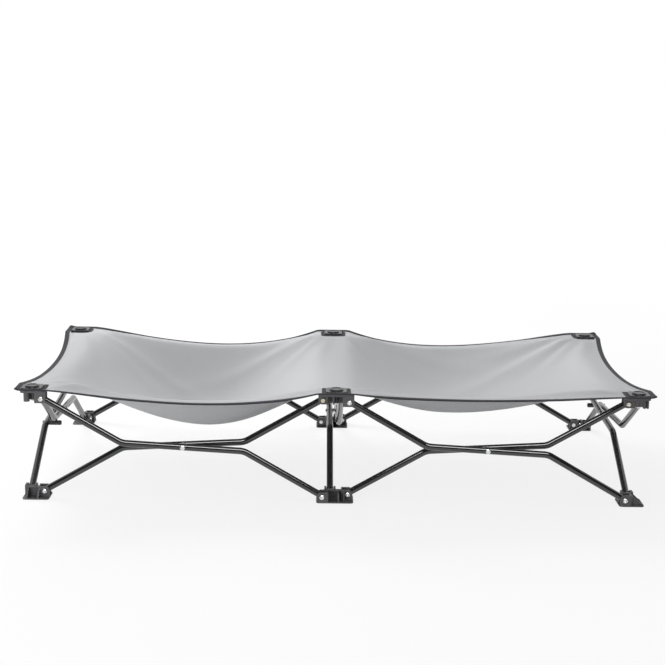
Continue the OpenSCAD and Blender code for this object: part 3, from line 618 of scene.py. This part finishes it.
def grosgrain_tape(f):
    place = f.node("TexCoord", output="Object")
    rib = f.node("TexNoise", {}, {"Vector": place, "Scale": 900, "Detail": 2})
    fade = f.node("TexNoise", {}, {"Vector": place, "Scale": 22, "Detail": 4})
    worn = rib * 0.6 + fade * 0.4
    tone = f.node("Mix", {"data_type": "RGBA"},
                  {0: worn, 6: (0.012, 0.011, 0.016, 1), 7: (0.030, 0.028, 0.037, 1)}, 2)
    bump = f.node("Bump", {}, {"Strength": 0.4, "Distance": 0.0003, "Height": rib})
    return f.node("BsdfPrincipled", {}, {
        "Base Color": tone, "Roughness": 0.62 + fade * 0.2, "Normal": bump,
        "Sheen Weight": 0.05, "Sheen Roughness": 0.5, "Specular IOR Level": 0.3})


def sewing_thread(f):
    place = f.node("TexCoord", output="Object")
    twist = f.node("TexNoise", {}, {"Vector": place, "Scale": 2500, "Detail": 1})
    tone = f.node("Mix", {"data_type": "RGBA"},
                  {0: twist, 6: (0.05, 0.05, 0.052, 1), 7: (0.11, 0.11, 0.115, 1)}, 2)
    return f.node("BsdfPrincipled", {}, {"Base Color": tone, "Roughness": 0.5 + twist * 0.2})


tape = dressed("grosgrain_tape", grosgrain_tape)
thread = dressed("sewing_thread", sewing_thread)
trim = {name: [] for name in cloth}
binding_runs = []
for name, way in hem_ways.items():
    side, zone = name.split("_", 1)
    start, stop, held_at = hem_zones[zone]
    cells = [(0, i) for i in range(start, stop + 1)]
    if zone == "left":
        cells = [(j, 0) for j in range(hem_rows, 0, -1)] + cells
    if zone == "right":
        cells = cells + [(j, end_col) for j in range(1, hem_rows + 1)]
    if side == "far":
        cells = [(end_row - j, i) for j, i in cells]
    binding_runs.append((name, cells, way, "hem_" + name))
for end, col in (("left", 0), ("right", end_col)):
    for side, rows in (("near", (hem_rows, middle_row)), ("far", (middle_row, end_row - hem_rows))):
        cells = [(j, col) for j in range(rows[0], rows[1] + 1)]
        binding_runs.append((end + "_end_" + side, cells, half_ways[side], "panel_" + side))
for name, cells, way, owner in binding_runs:
    run = rim_run(cells)
    binding = tape_along("binding_" + name, run, tape_profile, tape)
    fold_with(binding, *way)
    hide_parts("edge_binding")
    seam = stitches_along("binding_seam_" + name, run, tape_seam_in, tape_seam_up, thread)
    fold_with(seam, *way)
    trim[owner] += [binding, seam]


# Corner patches: black woven squares sewn on the sling over each hub, under the caps, so that the
# clamp doesn't tear the cloth. A row of stitches runs round inside their edges.
patch_t = 0.0008
patch_r = 0.004
patch_out = 0.0202
patch_in = 0.027
patch_seam_in = 0.0025
patch_seam_up = 0.0001


def round_outline(x0, x1, y0, y1, r, steps=6):
    """Points round a level rectangle with round corners."""
    points = []
    corners = [(x1 - r, y1 - r), (x0 + r, y1 - r), (x0 + r, y0 + r), (x1 - r, y0 + r)]
    for quarter, (cx, cy) in enumerate(corners):
        for k in range(steps + 1):
            angle = math.radians(90 * quarter + 90 * k / steps)
            points.append((cx + r * math.cos(angle), cy + r * math.sin(angle)))
    return np.array(points)


for spot in places:
    side, end = spot.split("_")
    sign_y = -1 if side == "near" else 1
    sign_x = {"left": -1, "mid": 0, "right": 1}[end]
    outline = round_outline(-patch_in, patch_out if sign_x else patch_in, -patch_in, patch_out, patch_r)
    if sign_x < 0:
        outline[:, 0] *= -1
    outline[:, 1] *= sign_y
    if (sign_x < 0) != (sign_y < 0):
        outline = outline[::-1]
    centre = np.array([sign_x * hub_x, sign_y * hub_y])
    form = bmesh.new()
    base = [form.verts.new((*(centre + p), cloth_top)) for p in outline]
    face = form.faces.new(base)
    lifted = bmesh.ops.extrude_face_region(form, geom=[face])["geom"]
    raised = [v for v in lifted if isinstance(v, bmesh.types.BMVert)]
    bmesh.ops.translate(form, verts=raised, vec=(0, 0, patch_t))
    bmesh.ops.recalc_face_normals(form, faces=form.faces)
    mesh = bpy.data.meshes.new("patch_" + spot)
    form.to_mesh(mesh)
    form.free()
    mesh.materials.append(tape)
    patch = bpy.data.objects.new("patch_" + spot, mesh)
    scene.collection.objects.link(patch)
    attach(patch, "hub_" + spot)
    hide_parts("corner_patches")
    loop = np.concatenate([outline, outline[:1]])
    at = np.column_stack([centre + loop, np.full(len(loop), cloth_top + patch_t)])
    inner = np.column_stack([np.mean(outline, axis=0) - loop, np.zeros(len(loop))])
    inner /= np.linalg.norm(inner, axis=1, keepdims=True)
    up = np.tile([0.0, 0.0, 1.0], (len(loop), 1))
    seam = stitches_along("patch_seam_" + spot, (at, inner, up), patch_seam_in, patch_seam_up, thread)
    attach(seam, "hub_" + spot)
    trim["hem_" + spot] += [patch, seam]

for name, (source, rows, cols, way, held_at) in cloth_cuts.items():
    piece = cloth[name]
    side = name.split("_")[1]
    top = sheet[rows, cols]
    length = np.linalg.norm(np.diff(top, axis=1), axis=-1).sum(axis=1).mean()
    held = ["hub_%s_%s" % (side, end) for end in held_at]


# Clamp caps: glossy black mouldings, a square plate with round corners and a round dome. A screw from
# below each hub draws them down on the sling.
def glossy_cap(f):
    place = f.node("TexCoord", output="Object")
    scuff = f.node("TexNoise", {}, {"Vector": place, "Scale": 300, "Detail": 5, "Roughness": 0.7})
    soft = f.node("Bevel", {"samples": 6}, {"Radius": 0.0009})
    colour = f.node("Mix", {"data_type": "RGBA"},
                    {0: scuff, 6: (0.010, 0.010, 0.011, 1), 7: (0.022, 0.022, 0.023, 1)}, 2)
    return f.node("BsdfPrincipled", {}, {
        "Base Color": colour, "Roughness": 0.18 + scuff * 0.2, "Normal": soft})


gloss = dressed("glossy_cap", glossy_cap)
for spot in places:
    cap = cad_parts["cap_" + spot]
    cap.data.materials.clear()
    cap.data.materials.append(gloss)
